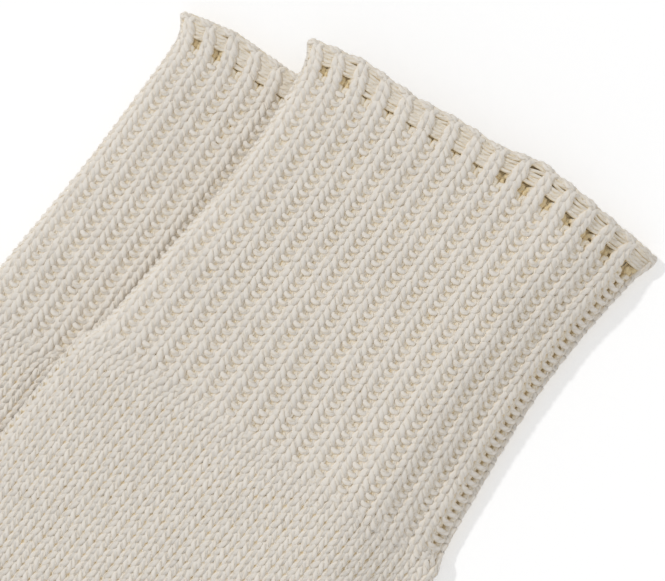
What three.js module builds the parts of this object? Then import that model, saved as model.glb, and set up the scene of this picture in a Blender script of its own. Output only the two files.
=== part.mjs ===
// Pair of boot socks lying flat, the upper one partly over the lower one.
//
// Millimetres, +Z up. The cuffs point toward +Y and the toes toward -X. The lower sock lies flat on
// z = 0. The upper sock lies on it, and what reaches past the lower sock sinks down to z = 0. The
// origin is the middle of the pair's footprint, on the surface that the pair lies on.
//
// A sock is a flattened tube of knitted cloth, open at the cuff and closed at the toe. It is lofted
// through sections: straight lines across the flat sock, from its instep edge to its heel edge.

import * as THREE from 'three';

// Flat widths, from edge to edge.
const CUFF_WIDTH = 116;
const NECK_WIDTH = 110; // just under the cast-on edge
const WAIST_WIDTH = 106; // narrowest place of the rib
const RIB_END_WIDTH = 114.5;
const LEG_WIDTH = 121.5;
const HEEL_WIDTH = 145; // instep to heel corner
const FOOT_WIDTH = 101;
const TOE_WIDTH = 46; // at the closed tip

// Lengths.
const RIB_HEIGHT = 99;
const LEG_HEIGHT = 107; // plain leg, from the rib to the ankle
const FOOT_LENGTH = 151; // straight sole, from the gusset to the tip
const TOE_LENGTH = 51;
const TOE_ROUND = 7; // length over which the tip closes
const CUFF_BOW = 4.5; // how far the cast-on edge bulges past a straight line between its corners
const NECK_BOW = 2;

// Cloth.
const RIB_WALL = 4.2;
const PLAIN_WALL = 3;
const SLOT = 0.4; // between the two layers of a sock
const SEAM = 0.3; // between neighbouring sections of a sock
const REST_GAP = 0.4; // between the socks

// Folded edges of the flat tube: how far in from the edge the cloth is rounded.
const INSTEP_ROUND = 13;
const HEEL_ROUND = 6;
const UNDER_ROUND = 4;
const INNER_ROUND = 2;

// The upper sock sinks past the lower sock's outline, between these two distances from it.
const SINK_START = 5;
const SINK_END = 32;

// How each sock is laid. The turn is from the leg to the foot, in degrees.
const UPPER = { name: 'upper', x: 0, y: 0, waist: WAIST_WIDTH, turn: 65 };
const LOWER = { name: 'lower', x: -33.5, y: -15, waist: WAIST_WIDTH + 3, turn: 63.5 };

// Facets.
const STEPS_PER_SECTION = 2;
const INSTEP_STEPS = 5;
const HEEL_STEPS = 3;
const UNDER_STEPS = 2;
const FLAT_PLACES = [0, 0.25, 0.45, 0.6, 0.7, 0.8, 0.9, 1]; // closer where the upper sock sinks

const CREAM = 0xd6cdbf;

const radians = THREE.MathUtils.degToRad;

/** A section of a sock: its middle, its tilt from the X axis in degrees, its width and its wall. */
function section(at, x, y, tilt, width, wall = PLAIN_WALL) {
  const along = new THREE.Vector2(Math.cos(radians(tilt)), Math.sin(radians(tilt)));
  const middle = new THREE.Vector2(x, y);
  const instep = middle.clone().addScaledVector(along, -width / 2);
  const heel = middle.clone().addScaledVector(along, width / 2);
  return { at, instep, heel, wall, tall: 1, bow: 0 };
}

/** The sections of leg and heel, from the cuff down, before the sock is laid in its place. */
function legSections(sock) {
  const ankle = -RIB_HEIGHT - LEG_HEIGHT;
  const heelTurn = sock.turn / 65;
  return [
    { ...section('cuff edge', -0.6, 0, 6, CUFF_WIDTH, RIB_WALL), bow: CUFF_BOW },
    { ...section('neck', 0, -8, 5.5, NECK_WIDTH, RIB_WALL), bow: NECK_BOW },
    section('upper waist', 0.4, -0.3 * RIB_HEIGHT, 5, sock.waist, RIB_WALL),
    section('lower waist', 0.8, -0.53 * RIB_HEIGHT, 4.4, sock.waist, RIB_WALL),
    section('lower rib', 1.5, -0.79 * RIB_HEIGHT, 4, (sock.waist + RIB_END_WIDTH) / 2, RIB_WALL),
    section('rib end', 2.2, -RIB_HEIGHT, 3.5, RIB_END_WIDTH, RIB_WALL),
    section('leg top', 2.6, -RIB_HEIGHT - 11, 3.2, LEG_WIDTH - 1),
    section('calf', 2.6, -RIB_HEIGHT - 0.57 * LEG_HEIGHT, 1, LEG_WIDTH),
    section('ankle', 3, ankle, -7, LEG_WIDTH + 2),
    section('heel back', 5, ankle - 32, -21 * heelTurn, 0.96 * HEEL_WIDTH),
    section('heel corner', -2, ankle - 59, -32 * heelTurn, HEEL_WIDTH),
    section('heel base', -20, ankle - 76, -41 * heelTurn, 0.92 * HEEL_WIDTH),
    section('gusset', -43.5, ankle - 90, -51.5 * heelTurn, 0.81 * HEEL_WIDTH),
  ];
}

/** The sections of foot and toe. The sole runs straight on from the gusset's heel edge. */
function footSections(sock, gusset) {
  const turn = radians(sock.turn);
  const forward = new THREE.Vector2(-Math.sin(turn), -Math.cos(turn));
  const toSole = new THREE.Vector2(Math.cos(turn), -Math.sin(turn));
  const straight = (at, along, width, tilt) => {
    const across = new THREE.Vector2(Math.cos(radians(tilt)), -Math.sin(radians(tilt)));
    const sole = gusset.heel.clone().addScaledVector(forward, along);
    const middle = sole.addScaledVector(across, -width / 2);
    return section(at, middle.x, middle.y, -tilt, width);
  };
  const narrowed = (at, left, width, tall) => {
    const middle = gusset.heel.clone().addScaledVector(forward, FOOT_LENGTH - left);
    middle.addScaledVector(toSole, -FOOT_WIDTH / 2);
    return { ...section(at, middle.x, middle.y, -sock.turn, width), tall };
  };
  return [
    straight('instep', 0.24 * FOOT_LENGTH, FOOT_WIDTH + 8, sock.turn - 6),
    straight('ball', 0.45 * FOOT_LENGTH, FOOT_WIDTH + 1, sock.turn - 2.5),
    narrowed('toe start', TOE_LENGTH, FOOT_WIDTH, 1),
    narrowed('toe', 0.55 * TOE_LENGTH, 0.91 * FOOT_WIDTH, 1),
    narrowed('toe end', 0.25 * TOE_LENGTH, 0.76 * FOOT_WIDTH, 1),
    narrowed('toe round', 0.5 * TOE_ROUND, 0.63 * FOOT_WIDTH, 0.9),
    narrowed('tip', 0, TOE_WIDTH, 0.55),
  ];
}

/** The knitted pieces of a sock, each from one named section to another. */
const PIECES = [
  { piece: 'cuff', from: 'cuff edge', to: 'rib end' },
  { piece: 'leg', from: 'rib end', to: 'ankle' },
  { piece: 'heel', from: 'ankle', to: 'gusset' },
  { piece: 'foot', from: 'gusset', to: 'toe start' },
  { piece: 'toe', from: 'toe start', to: 'tip' },
];

/** A sock's sections, with a smooth curve along each edge, so that it can be cut anywhere. */
function laySock(sock) {
  const leg = legSections(sock);
  const rows = [...leg, ...footSections(sock, leg.at(-1))];
  const place = new THREE.Vector2(sock.x, sock.y);
  rows.forEach((row) => {
    row.instep.add(place);
    row.heel.add(place);
  });
  return {
    rows,
    instepEdge: new THREE.SplineCurve(rows.map((row) => row.instep)),
    heelEdge: new THREE.SplineCurve(rows.map((row) => row.heel)),
  };
}

/** The line across a laid sock at a place between its sections, counted in sections. */
function cut(laid, place) {
  const last = laid.rows.length - 1;
  const before = laid.rows[Math.floor(place)];
  const after = laid.rows[Math.min(Math.floor(place) + 1, last)];
  const share = place - Math.floor(place);
  return {
    instep: laid.instepEdge.getPoint(place / last),
    heel: laid.heelEdge.getPoint(place / last),
    wall: THREE.MathUtils.lerp(before.wall, after.wall, share),
    tall: THREE.MathUtils.lerp(before.tall, after.tall, share),
    bow: THREE.MathUtils.lerp(before.bow, after.bow, share),
  };
}

/** The direction along the tube at a line across it, toward the toe. */
function towardToe(line) {
  const across = line.heel.clone().sub(line.instep).normalize();
  return new THREE.Vector2(across.y, -across.x);
}

/** Moves a line across the sock along the tube, toward the toe. */
function shifted(line, distance) {
  const move = (point) => point.clone().addScaledVector(towardToe(line), distance);
  return { ...line, instep: move(line.instep), heel: move(line.heel) };
}

/** The lower sock's outline in plan, as a closed list of points. */
function outlineOf(laid) {
  const places = [];
  for (let k = 0; k <= (laid.rows.length - 1) * STEPS_PER_SECTION; k += 1) {
    places.push(cut(laid, k / STEPS_PER_SECTION));
  }
  return [...places.map((line) => line.instep), ...places.reverse().map((line) => line.heel)];
}

/** Distance from a plan point to an outline: positive outside and negative inside. */
function distanceOutside(point, outline) {
  let nearest = Infinity;
  let inside = false;
  outline.forEach((a, i) => {
    const b = outline[(i + 1) % outline.length];
    const side = b.clone().sub(a);
    const share = THREE.MathUtils.clamp(point.clone().sub(a).dot(side) / side.lengthSq(), 0, 1);
    nearest = Math.min(nearest, a.clone().addScaledVector(side, share).distanceTo(point));
    const crosses = a.y > point.y !== b.y > point.y;
    if (crosses && point.x < a.x + ((point.y - a.y) / (b.y - a.y)) * (b.x - a.x)) {
      inside = !inside;
    }
  });
  return inside ? -nearest : nearest;
}

/** The height that a sock on the lower one rests at, as a function of the plan point. */
function heightOver(lower) {
  const outline = outlineOf(lower);
  const ribEnd = lower.rows.find((row) => row.at === 'leg top').instep.y;
  return (point) => {
    const overRib = THREE.MathUtils.smoothstep(point.y, ribEnd - SINK_END, ribEnd);
    const wall = THREE.MathUtils.lerp(PLAIN_WALL, RIB_WALL, overRib);
    const carried = 2 * wall + SLOT + REST_GAP;
    const outside = distanceOutside(point, outline);
    return carried * (1 - THREE.MathUtils.smoothstep(outside, SINK_START, SINK_END));
  };
}

/** One rounded corner of a section's ring: pairs of distance in from the edge and share of height. */
function corner(round, from, to, steps) {
  return Array.from({ length: steps }, (_, k) => {
    const angle = radians(from + ((to - from) * k) / steps);
    return { inward: round * (1 - Math.cos(angle)), height: Math.sin(angle) };
  });
}

/** The ring round a section: over the top from the instep edge, and back underneath. */
function ring(line, isInner, heightAt) {
  const width = line.heel.distanceTo(line.instep);
  const half = isInner ? SLOT / 2 : (line.tall * (2 * line.wall + SLOT)) / 2;
  const inset = isInner ? line.wall : 0;
  const rounds = isInner
    ? { instep: INNER_ROUND, heel: INNER_ROUND, under: INNER_ROUND }
    : { instep: INSTEP_ROUND, heel: HEEL_ROUND, under: UNDER_ROUND };
  const flat = (fromInstep, fromHeel, height) =>
    FLAT_PLACES.slice(0, -1).map((share) => {
      const start = inset + fromInstep;
      const length = width - 2 * inset - fromInstep - fromHeel;
      return { across: start + length * share, height };
    });
  const fromInstep = ({ inward, height }) => ({ across: inset + inward, height });
  const fromHeel = ({ inward, height }) => ({ across: width - inset - inward, height });
  const underside = flat(rounds.under, rounds.under, -1).slice(1);
  const underHeel = { across: width - inset - rounds.under, height: -1 };
  const places = [
    ...corner(rounds.instep, 0, 90, INSTEP_STEPS).map(fromInstep),
    ...flat(rounds.instep, rounds.heel, 1),
    ...corner(rounds.heel, 90, 0, HEEL_STEPS).map(fromHeel),
    ...corner(rounds.under, 0, -90, UNDER_STEPS).map(fromHeel),
    underHeel,
    ...underside.reverse(),
    ...corner(rounds.under, -90, 0, UNDER_STEPS).map(fromInstep),
  ];
  const middle = line.tall * line.wall + SLOT / 2;
  const toToe = towardToe(line);
  return places.map(({ across, height }) => {
    const point = line.instep.clone().lerp(line.heel, across / width);
    point.addScaledVector(toToe, -line.bow * Math.sin((Math.PI * across) / width));
    return new THREE.Vector3(point.x, point.y, heightAt(point) + middle + half * height);
  });
}

/** Closed mesh from rings of equally many points: skin outside, skin inside, and the ends. */
function tube(outer, inner, isClosed) {
  const count = outer[0].length;
  const innerStart = outer.length * count;
  const points = [...outer, ...inner].flat();
  const faces = [];
  const quad = (a, b, c, d) => faces.push(a, b, c, a, c, d);
  for (let k = 0; k < count; k += 1) {
    const next = (k + 1) % count;
    for (let i = 0; i < outer.length - 1; i += 1) {
      quad(i * count + k, (i + 1) * count + k, (i + 1) * count + next, i * count + next);
    }
    for (let i = 0; i < inner.length - 1; i += 1) {
      const near = innerStart + i * count;
      quad(near + k, near + next, near + count + next, near + count + k);
    }
    quad(k, next, innerStart + next, innerStart + k);
  }
  const outerEnd = (outer.length - 1) * count;
  const innerEnd = innerStart + (inner.length - 1) * count;
  if (isClosed) {
    const fan = (end, turnedIn) => {
      const ends = points.slice(end, end + count);
      const centre = ends.reduce((sum, p) => sum.add(p), new THREE.Vector3());
      points.push(centre.divideScalar(count));
      for (let k = 0; k < count; k += 1) {
        const next = (k + 1) % count;
        const [a, b] = turnedIn ? [next, k] : [k, next];
        faces.push(points.length - 1, end + a, end + b);
      }
    };
    fan(outerEnd, true);
    fan(innerEnd, false);
  } else {
    for (let k = 0; k < count; k += 1) {
      const next = (k + 1) % count;
      quad(outerEnd + k, innerEnd + k, innerEnd + next, outerEnd + next);
    }
  }
  const geometry = new THREE.BufferGeometry().setFromPoints(points);
  geometry.setIndex(faces);
  return geometry;
}

/** One knitted piece of a laid sock as a mesh. */
function pieceMesh(sock, laid, { piece, from, to }, heightAt) {
  const first = laid.rows.findIndex((row) => row.at === from);
  const last = laid.rows.findIndex((row) => row.at === to);
  const isCuff = first === 0;
  const isToe = last === laid.rows.length - 1;
  const steps = (last - first) * STEPS_PER_SECTION;
  const lines = Array.from({ length: steps + 1 }, (_, k) => cut(laid, first + k / STEPS_PER_SECTION));
  if (!isCuff) {
    lines[0] = shifted(lines[0], SEAM / 2);
  }
  if (!isToe) {
    lines[steps] = shifted(lines[steps], -SEAM / 2);
  }
  const outer = lines.map((line) => ring(line, false, heightAt));
  const hollow = isToe ? lines.slice(0, -STEPS_PER_SECTION) : lines;
  const inner = hollow.map((line) => ring(line, true, heightAt));
  const material = new THREE.MeshStandardMaterial({ color: CREAM, roughness: 0.95, metalness: 0 });
  const mesh = new THREE.Mesh(tube(outer, inner, isToe), material);
  mesh.name = `${sock.name}_${piece}`;
  return mesh;
}

const lowerLaid = laySock(LOWER);
const upperLaid = laySock(UPPER);
const onSurface = () => 0;
const onLower = heightOver(lowerLaid);

const pair = new THREE.Group();
PIECES.forEach((row) => {
  pair.add(pieceMesh(LOWER, lowerLaid, row, onSurface));
  pair.add(pieceMesh(UPPER, upperLaid, row, onLower));
});

const footprint = new THREE.Box3().setFromObject(pair);
const centre = footprint.getCenter(new THREE.Vector3());
pair.position.set(-centre.x, -centre.y, 0);

export default pair;
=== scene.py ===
"""Pair of boot socks lying flat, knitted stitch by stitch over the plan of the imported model."""
import math

import bpy
import numpy as np
from bpy.props import FloatProperty, FloatVectorProperty, IntProperty, PointerProperty
from bpy.types import Operator, Panel, PropertyGroup
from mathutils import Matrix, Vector


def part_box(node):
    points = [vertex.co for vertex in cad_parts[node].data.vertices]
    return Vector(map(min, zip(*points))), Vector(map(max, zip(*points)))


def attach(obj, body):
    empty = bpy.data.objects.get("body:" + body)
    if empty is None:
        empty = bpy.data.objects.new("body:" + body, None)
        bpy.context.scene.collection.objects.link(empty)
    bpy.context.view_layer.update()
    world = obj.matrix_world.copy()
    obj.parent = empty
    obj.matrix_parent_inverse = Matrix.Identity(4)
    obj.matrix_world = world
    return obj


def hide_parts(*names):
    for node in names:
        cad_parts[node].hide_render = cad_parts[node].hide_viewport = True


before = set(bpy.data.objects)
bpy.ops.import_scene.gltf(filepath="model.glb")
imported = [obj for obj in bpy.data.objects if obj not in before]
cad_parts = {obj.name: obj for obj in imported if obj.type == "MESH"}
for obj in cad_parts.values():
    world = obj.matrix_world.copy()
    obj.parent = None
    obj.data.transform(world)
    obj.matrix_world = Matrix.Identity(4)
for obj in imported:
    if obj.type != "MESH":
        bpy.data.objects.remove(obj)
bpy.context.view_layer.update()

bl_info = {
    "name": "Boot socks",
    "version": (1, 0, 0),
    "blender": (4, 5, 0),
    "location": "3D View > Sidebar > Boot socks",
    "description": "Builds a pair of knitted boot socks lying flat on a table",
    "category": "Add Mesh",
}

MM = 0.001

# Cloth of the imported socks, in millimetres: its wall, the slot between the two layers, the gap between the
# socks, the round part of each fold, and where past the lower sock's edge the upper one sinks to the table.
RIB_WALL = 4.2
PLAIN_WALL = 3.0
SLOT = 0.4
REST_GAP = 0.4
INSTEP_ROUND = 13.0
HEEL_ROUND = 6.0
UNDER_ROUND = 4.0
SINK_START = 5.0
SINK_END = 32.0
LEAST_HALF = 0.12
LEAST_ROUND = 0.25

# How each sock lies, in millimetres and degrees: how far from the upper one's place, how much wider its waist
# is than the stated one, and how far its foot turns from its leg.
FOOT_TURN = 65
LAY = {
    "lower": {"x": -33.5, "y": -15, "slack": 3, "turn": 63.5},
    "upper": {"x": 0, "y": 0, "slack": 0, "turn": FOOT_TURN},
}

# Columns of stitches: at the instep fold and at the heel fold, knitted over the top, all round, and drawn
# underneath. The last purl column of the rib is spread open towards the heel fold, between two columns, and
# the columns lie closer together over the instep fold.
INSTEP_COLUMN = 1.7
HEEL_COLUMN = 32.98
TOP_COLUMNS = (0, 35)
ROUND_COLUMNS = 64
UNDER_COLUMNS = 31
LAST_PURL = (31.22, 32.0)
SPREAD = 0.58
SPREAD_ENDS = (33, 35)
CLOSER = 0.13

# The heel fold of the rib, in millimetres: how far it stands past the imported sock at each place, how steeply
# and from how far in its top slopes down, the height that the layer underneath keeps there, and how far
# that layer is tucked in. The inner skin, from a share of the wall on, is tucked in too.
HEEL_PROUD = ((0.0, 1.0, 4.0, 5.0, 6.5), (1.2, 1.3, 1.7, 2.0, 0.0))
FOLD_SLOPE = 0.87
FOLD_REACH = 5.0
FOLD_LOW = 2.0
FOLD_TUCK = 1.6
INNER_FROM = 0.75
INNER_TUCK = 1.2
INNER_SKIN = 0.97

# The cloth behind the stitches: its rings, its points over the top, the depth of its outer skin as a share of
# the wall (less in rib, more in the band), and the rows up to which the backing, in its darker colour of
# painted shade, reaches out to the folds, and up to which there is any.
SHELL_RINGS = 60
SHELL_POINTS = 34
OUTER_SKIN = 0.57
RIB_SKIN = -0.05
BAND_SKIN = 0.2
BACKED_ROWS = (46, 80)

# Points along a stitch, by the part, and sides of the yarn, by the kind of knitting.
STITCH_POINTS = {"cuff": 12, "edge": 10, "under": 8, "leg": 12, "foot": 7}
RIB_SIDES = 6
PLAIN_SIDES = 5
UNDER_ROWS = 4

# Height of a row in millimetres, and how far under the upper sock the lower one has no stitches.
ROW = 2.54
COVERED = 9

# A stitch, in columns: the lean of its legs in purl, in rib (one for each leg) and in plain knitting, how
# much wider a knit column of the rib is and how much narrower in the first rows, and the sway of its legs.
PURL_LEAN = 0.23
RIB_LEAN = (0.2, 0.26)
PLAIN_LEAN = 0.26
KNIT_SHARE = 0.22
FIRST_SHARE = 0.04
PURL_SWAY = -0.07
KNIT_SWAY = 0.022

# A stitch along the rows: where its middle is, and how square a purl loop is.
STITCH_MIDDLE = 0.95
PURL_SQUARE = 0.6

# A stitch out of the cloth: how far the heads of purl loops stand out, their legs lie back and those under
# the band lie back, the share of the relief in plain knitting, and the ridges in the last rows of the rib.
PURL_HEAD = 0.68
PURL_BACK = -0.18
FIRST_LOOP_BACK = 1.1
PLAIN_SWING = 0.8
RIDGE = 0.65

# Thickness of the yarn: how much more or less of it there is in the legs of a purl and of a ribbed stitch,
# in the head of a purl loop, in the bars and in plain knitting.
LEG_PLUMP = (-0.12, 0.14)
HEAD_THIN = 0.08
BAR_THIN = 0.42
PLAIN_YARN = 0.91

# Unevenness of a stitch: aside in columns, along in rows, outwards in millimetres, and of its radius.
UNEVEN = (0.022, 0.07, 0.06, 0.035)

# The band of the first rows, where bars of yarn cross the purl columns: the bars in rows from the edge, where
# they start and how long they are in columns, how uneven they are, and where on the cuff they are closest.
BAND_ROWS = 2
BARS = tuple(-0.25 + 0.36 * k for k in range(8))
BAR_START = 0.62
BAR_SPAN = 1.76
BAR_UNEVEN = (0.03, 0.07)
BAR_RADIUS = 0.6
BAR_RADIUS_UNEVEN = 0.05
BAR_HEIGHT = 0.3
CLOSE_BARS = (0.14, 0.5)

# The cast-on chain: its radius, and how much it is lifted in the painted shade of deep yarn, in millimetres.
CHAIN_RADIUS = 0.66
CHAIN_LIFT = 2.0

# The yarn's section, aside and out of the cloth, the range of its radius in millimetres, and how far its
# ends are drawn out, in radii.
YARN_WIDE = 1.06
YARN_TALL = 0.82
YARN_RANGE = (0.72, 1.15)
TIP = 0.6

# Edges left free in the map of strips: beside each strand, as a share of its strip, and at its ends.
STRIP_EDGE = 0.08
MAP_EDGE = 0.003

# Materials of the yarn: how far it stands out of the cloth, in millimetres, where its painted warm shade of
# deep yarn starts and where that painted shade is fullest.
WOOLS = {"rib": ("Ribbed wool", 1.25, 0.15), "plain": ("Plain wool", 0.95, 0.05)}

# How the cast-on edge wavers: share of the way across, and how far it stands out in millimetres.
EDGE_WAVE = (
    (0.0, 0.09, 0.15, 0.23, 0.31, 0.42, 0.52, 0.59, 0.63, 0.71, 0.79, 0.86, 0.93, 1.0),
    (-0.9, -0.4, -0.1, -1.6, -2.8, -2.4, -2.9, -1.1, 0.3, -0.3, -0.5, -0.6, -0.4, -0.2),
)

# The view from straight above: its turn in degrees, where it looks in millimetres from the middle, the level
# in metres at which it is as wide as stated, and the width of the camera's film in millimetres.
VIEW_TURN = 38
VIEW_AIM = (-9.66, -56.1)
VIEW_LEVEL = 0.016
FILM = 36

# The table in metres: its size and its level, a hair under the socks.
TABLE_SIZE = 6.0
TABLE_LEVEL = -0.0002

# The key light in degrees: from the upper left of the view, how far from overhead, and how soft.
KEY_TURN = 146
KEY_TILT = 50.5
KEY_ANGLE = 3


# ---------------------------------------------------------------------------
# Sizes and colours that a user would change


def plain_number(name, description, default, **more):
    """A plain number."""
    return FloatProperty(name=name, description=description, default=default, **more)


def metres(name, description, default):
    """A length, in metres."""
    return plain_number(name, description, default, unit="LENGTH")


def whole_number(name, description, default, low, high):
    """A whole number within limits."""
    return IntProperty(name=name, description=description, default=default, min=low, max=high)


def colour(name, description, default):
    """A colour."""
    return FloatVectorProperty(
        name=name, description=description, default=default, subtype="COLOR", min=0, max=1,
    )


class SockSizes(PropertyGroup):
    """Flat sizes of a sock."""

    cuff_width: metres("Cuff width", "Across the cast-on edge", 0.116)
    neck_width: metres("Neck width", "Just under the cast-on edge", 0.110)
    waist_width: metres("Waist width", "Narrowest place of the rib", 0.106)
    rib_end_width: metres("Rib end width", "Where the rib meets the leg", 0.1145)
    leg_width: metres("Leg width", "Across the plain leg", 0.1215)
    heel_width: metres("Heel width", "From the instep to the heel corner", 0.145)
    foot_width: metres("Foot width", "Across the foot", 0.101)
    toe_width: metres("Toe width", "Across the closed tip", 0.046)
    rib_height: metres("Rib height", "Cuff, from the edge to the leg", 0.099)
    leg_height: metres("Leg height", "Plain leg, from the rib to the ankle", 0.107)
    foot_length: metres("Foot length", "Straight sole", 0.151)
    toe_length: metres("Toe length", "Narrowed part of the foot", 0.051)
    cuff_bow: metres("Cuff bow", "Bulge of the cast-on edge", 0.0045)
    neck_bow: metres("Neck bow", "Bulge of the rows under it", 0.002)


class KnitSizes(PropertyGroup):
    """Stitches and yarn."""

    rib_rows: whole_number("Rib rows", "Rows of the cuff", 39, 8, 80)
    leg_rows: whole_number("Leg rows", "Rows of the plain leg", 42, 8, 90)
    heel_rows: whole_number("Heel rows", "Rows along the middle of the heel", 44, 10, 90)
    foot_rows: whole_number("Foot rows", "Rows of the foot", 38, 8, 90)
    toe_rows: whole_number("Toe rows", "Rows of the toe", 20, 6, 60)
    yarn: plain_number(
        "Yarn", "Share of a stitch's width that the yarn's radius takes", 0.275, subtype="FACTOR",
    )
    relief: metres("Relief", "How far a leg of a stitch stands before its head", 0.00038)
    loop_height: plain_number("Loop height", "Height of a loop, in rows", 1.9)
    unevenness: plain_number(
        "Unevenness", "How uneven the hand of the knitting is", 1.0, subtype="FACTOR", max=3,
    )
    seed: IntProperty(name="Seed", description="Which unevenness", default=11)


class WoolLook(PropertyGroup):
    """Colours of the wool."""

    wool: colour("Wool", "Colour of the yarn", (0.86, 0.81, 0.74))
    # Painted shade: the darker colour between the plies and between the drawn stitches of the underside.
    groove: colour("Groove", "Colour between the plies", (0.84, 0.75, 0.62))
    # Painted shade: a warmer tint on the yarn's sides, where they turn into the cloth.
    flank: colour("Flank", "Colour of the yarn's sides, deep between the stitches", (0.93, 0.81, 0.64))
    # Painted shade: the warm, darker tint of yarn low between the stitches stands for the shade there.
    deep: colour("Deep", "Colour of the yarn low down between the stitches", (0.88, 0.73, 0.46))
    # Painted shade: the cloth behind the stitches is coloured a darker warm brown for the shade seen through
    # the gaps.
    inside: colour("Inside", "Colour of the cloth behind the stitches", (0.67, 0.54, 0.33))


class StudioLook(PropertyGroup):
    """Table, lights and camera."""

    floor: colour("Table", "Colour of the table", (0.93, 0.93, 0.93))
    room: plain_number("Room light", "Strength of the light from all round", 0.635)
    key: plain_number("Key light", "Strength of the light from the upper left", 0.95)
    glow: plain_number("Table glow", "Light that the lit table gives off", 0.235)
    lens: plain_number("Lens", "Focal length in millimetres", 85.0)
    view_width: metres("View width", "Width of what the camera sees", 0.1809)


# ---------------------------------------------------------------------------
# Plan of a sock


def section(at, x, y, tilt, width, wall=PLAIN_WALL, bow=0.0, tall=1.0):
    """A straight line across the flat sock, from its instep edge to its heel edge."""
    along = np.array([math.cos(math.radians(tilt)), math.sin(math.radians(tilt))])
    middle = np.array([x, y])
    return {
        "at": at,
        "instep": middle - along * width / 2,
        "heel": middle + along * width / 2,
        "wall": wall,
        "bow": bow,
        "tall": tall,
    }


def leg_sections(sizes, waist, turn):
    """Sections from the cuff to the gusset, before the sock is laid in its place."""
    rib, leg = sizes["rib_height"], sizes["leg_height"]
    ankle = -rib - leg
    bend = turn / FOOT_TURN
    wide, end, heel = sizes["leg_width"], sizes["rib_end_width"], sizes["heel_width"]
    return [
        section("cuff edge", -0.6, 0, 6, sizes["cuff_width"], RIB_WALL, sizes["cuff_bow"]),
        section("neck", 0, -8, 5.5, sizes["neck_width"], RIB_WALL, sizes["neck_bow"]),
        section("upper waist", 0.4, -0.3 * rib, 5, waist, RIB_WALL),
        section("lower waist", 0.8, -0.53 * rib, 4.4, waist, RIB_WALL),
        section("lower rib", 1.5, -0.79 * rib, 4, (waist + end) / 2, RIB_WALL),
        section("rib end", 2.2, -rib, 3.5, end, RIB_WALL),
        section("leg top", 2.6, -rib - 11, 3.2, wide - 1),
        section("calf", 2.6, -rib - 0.57 * leg, 1, wide),
        section("ankle", 3, ankle, -7, wide + 2),
        section("heel back", 5, ankle - 32, -21 * bend, 0.96 * heel),
        section("heel corner", -2, ankle - 59, -32 * bend, heel),
        section("heel base", -20, ankle - 76, -41 * bend, 0.92 * heel),
        section("gusset", -43.5, ankle - 90, -51.5 * bend, 0.81 * heel),
    ]


def foot_sections(sizes, turn, gusset):
    """Sections of foot and toe. The sole runs straight on from the gusset's heel edge."""
    angle = math.radians(turn)
    forward = np.array([-math.sin(angle), -math.cos(angle)])
    to_sole = np.array([math.cos(angle), -math.sin(angle)])
    length, width, toe = sizes["foot_length"], sizes["foot_width"], sizes["toe_length"]

    def straight(at, along, wide, tilt):
        across = np.array([math.cos(math.radians(tilt)), -math.sin(math.radians(tilt))])
        middle = gusset["heel"] + forward * along - across * wide / 2
        return section(at, middle[0], middle[1], -tilt, wide)

    def narrowed(at, left, wide, tall):
        middle = gusset["heel"] + forward * (length - left) - to_sole * width / 2
        return section(at, middle[0], middle[1], -turn, wide, tall=tall)

    return [
        straight("instep", 0.24 * length, width + 8, turn - 6),
        straight("ball", 0.45 * length, width + 1, turn - 2.5),
        narrowed("toe start", toe, width, 1),
        narrowed("toe", 0.55 * toe, 0.91 * width, 1),
        narrowed("toe end", 0.25 * toe, 0.76 * width, 1),
        narrowed("toe round", 3.5, 0.63 * width, 0.9),
        narrowed("tip", 0, sizes["toe_width"], 0.55),
    ]


def along_spline(points, place):
    """A smooth curve through points, at places counted in points."""
    last = len(points) - 1
    place = np.clip(place, 0, last)
    k = np.minimum(place.astype(int), last - 1)
    f = (place - k)[..., None]
    p0, p1, p2, p3 = (points[np.clip(k + step, 0, last)] for step in (-1, 0, 1, 2))
    v0, v1 = (p2 - p0) / 2, (p3 - p1) / 2
    return (2 * p1 - 2 * p2 + v0 + v1) * f**3 + (-3 * p1 + 3 * p2 - 2 * v0 - v1) * f**2 + v0 * f + p1


def smooth(x, low, high):
    """0 below low, 1 above high, and smooth between them."""
    t = np.clip((x - low) / (high - low), 0, 1)
    return t * t * (3 - 2 * t)


def distance_outside(points, outline):
    """Distance from plan points to a closed outline: positive outside and negative inside."""
    a, b = outline, np.roll(outline, -1, axis=0)
    side = b - a
    away = points[:, None, :] - a[None]
    share = np.clip((away * side).sum(-1) / (side**2).sum(-1), 0, 1)
    nearest = np.sqrt(((away - share[..., None] * side) ** 2).sum(-1)).min(1)
    x, y = points[:, 0, None], points[:, 1, None]
    spans = (a[:, 1] > y) != (b[:, 1] > y)
    rise = np.where(b[:, 1] == a[:, 1], 1e-9, b[:, 1] - a[:, 1])
    crosses = spans & (x < a[:, 0] + (y - a[:, 1]) / rise * (b[:, 0] - a[:, 0]))
    return np.where(crosses.sum(1) % 2 == 1, -nearest, nearest)


QUARTER = np.linspace(0, math.pi / 2, 25)


def quarter_round(distance, round_, half):
    """Point at a distance along a quarter ellipse from its outermost point: inward and up."""
    x = round_[:, None] * (1 - np.cos(QUARTER))
    z = half[:, None] * np.sin(QUARTER)
    gone = np.concatenate([np.zeros((len(x), 1)), np.cumsum(np.hypot(np.diff(x), np.diff(z)), 1)], 1)
    k = np.clip((gone <= distance[:, None]).sum(1) - 1, 0, len(QUARTER) - 2)[:, None]
    low, high = np.take_along_axis(gone, k, 1), np.take_along_axis(gone, k + 1, 1)
    f = np.clip((distance[:, None] - low) / (high - low), 0, 1)
    inward = np.take_along_axis(x, k, 1) * (1 - f) + np.take_along_axis(x, k + 1, 1) * f
    up = np.take_along_axis(z, k, 1) * (1 - f) + np.take_along_axis(z, k + 1, 1) * f
    return inward[:, 0], up[:, 0], gone[:, -1]


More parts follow.
